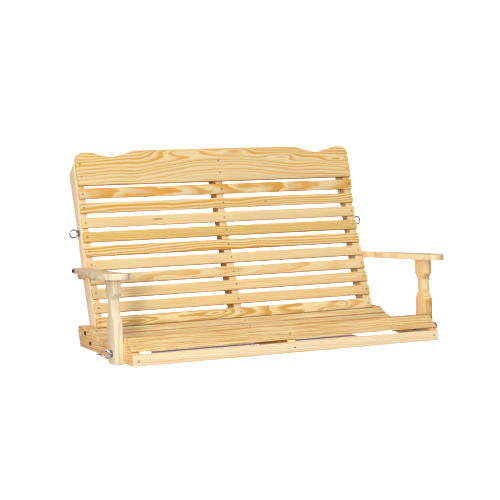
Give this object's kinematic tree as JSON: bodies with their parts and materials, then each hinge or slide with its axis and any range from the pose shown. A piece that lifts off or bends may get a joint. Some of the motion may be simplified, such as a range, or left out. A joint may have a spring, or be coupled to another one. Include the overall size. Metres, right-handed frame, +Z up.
{
  "type": "porch swing seat",
  "caption": "Slatted pine porch swing seat with a curved high back, scalloped crest rail, paddle arms on waisted posts and eye bolts for hanging chains.",
  "frame": {"origin": "middle of the bounding box at the feet of the arm posts", "axes": "+X along the seat towards the sitter's left, -Y the open front, +Z up"},
  "size_m": [1.362, 0.6805, 0.7143],
  "materials": {
    "pine": "unfinished planed pine",
    "pine_post": "unfinished planed pine",
    "zinc_steel": "zinc plated",
    "dark_steel": "dark coated"
  },
  "bodies": {
    "swing_seat": {"arm_bolt_left": "dark_steel", "arm_bolt_right": "dark_steel", "arm_cleat_left": "pine", "arm_cleat_right": "pine", "arm_left": "pine", "arm_post_left": "pine_post", "arm_post_right": "pine_post", "arm_right": "pine", "back_slat_01": "pine", "back_slat_02": "pine", "back_slat_03": "pine", "back_slat_04": "pine", "back_slat_05": "pine", "back_slat_06": "pine", "back_slat_07": "pine", "back_slat_08": "pine", "back_slat_09": "pine", "back_slat_10": "pine", "back_upright_center": "pine", "back_upright_left": "pine", "back_upright_right": "pine", "crest_rail": "pine", "eye_inner_washer_front_left": "zinc_steel", "eye_inner_washer_front_right": "zinc_steel", "eye_inner_washer_rear_left": "zinc_steel", "eye_inner_washer_rear_right": "zinc_steel", "eye_washer_front_left": "zinc_steel", "eye_washer_front_right": "zinc_steel", "eye_washer_rear_left": "zinc_steel", "eye_washer_rear_right": "zinc_steel", "frame_bolt_left_1": "dark_steel", "frame_bolt_left_2": "dark_steel", "frame_bolt_right_1": "dark_steel", "frame_bolt_right_2": "dark_steel", "front_apron": "pine", "lap_bolt_1": "dark_steel", "lap_bolt_2": "dark_steel", "post_bolt_left": "zinc_steel", "post_bolt_right": "zinc_steel", "seat_front_board": "pine", "seat_slat_01": "pine", "seat_slat_02": "pine", "seat_slat_03": "pine", "seat_slat_04": "pine", "seat_slat_05": "pine", "seat_slat_06": "pine", "seat_slat_07": "pine", "seat_slat_08": "pine", "seat_stringer_center": "pine", "seat_stringer_left": "pine", "seat_stringer_right": "pine"},
    "eye_rear_left": {"eye_bolt_rear_left": "zinc_steel", "eye_nut_rear_left": "zinc_steel"},
    "eye_rear_right": {"eye_bolt_rear_right": "zinc_steel", "eye_nut_rear_right": "zinc_steel"},
    "eye_front_left": {"eye_bolt_front_left": "zinc_steel", "eye_nut_front_left": "zinc_steel"},
    "eye_front_right": {"eye_bolt_front_right": "zinc_steel", "eye_nut_front_right": "zinc_steel"}
  },
  "joints": [
    {"name": "eye_turn_rear_left", "type": "hinge", "parent": "swing_seat", "child": "eye_rear_left", "pos_m": [-0.5998, 0.2443, 0.4135], "axis": [1, 0, 0], "continuous": true},
    {"name": "eye_turn_rear_right", "type": "hinge", "parent": "swing_seat", "child": "eye_rear_right", "pos_m": [0.5998, 0.2443, 0.4135], "axis": [1, 0, 0], "continuous": true},
    {"name": "eye_turn_front_left", "type": "hinge", "parent": "swing_seat", "child": "eye_front_left", "pos_m": [-0.6624, -0.2222, 0.041], "axis": [1, 0, 0], "continuous": true},
    {"name": "eye_turn_front_right", "type": "hinge", "parent": "swing_seat", "child": "eye_front_right", "pos_m": [0.6624, -0.2222, 0.041], "axis": [1, 0, 0], "continuous": true}
  ]
}
